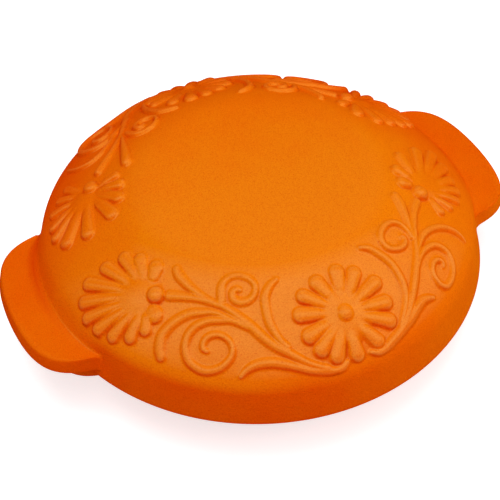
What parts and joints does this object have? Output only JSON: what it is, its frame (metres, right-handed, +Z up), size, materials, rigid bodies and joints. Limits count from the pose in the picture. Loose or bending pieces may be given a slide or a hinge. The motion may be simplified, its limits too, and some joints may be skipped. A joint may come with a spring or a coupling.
{
  "type": "round clay roaster",
  "caption": "Unglazed clay roaster: a round eared bowl under a domed, eared lid whose skirt drops over the bowl's rim, with daisies and tendrils in relief round the lid's shoulder.",
  "frame": {"origin": "centre of the bowl's flat underside, on the surface that it stands on", "axes": "+Z up along the lid's lift, X through both pairs of ears, Y across them"},
  "size_m": [0.348, 0.2988, 0.1188],
  "materials": {
    "clay": "matte unglazed orange earthenware"
  },
  "bodies": {
    "bowl": {"bowl": "clay"},
    "lid": {"lid": "clay"}
  },
  "joints": [
    {"name": "lid_lift", "type": "slide", "parent": "bowl", "child": "lid", "axis": [0, 0, 1], "range_m": [0, 0.15]}
  ]
}
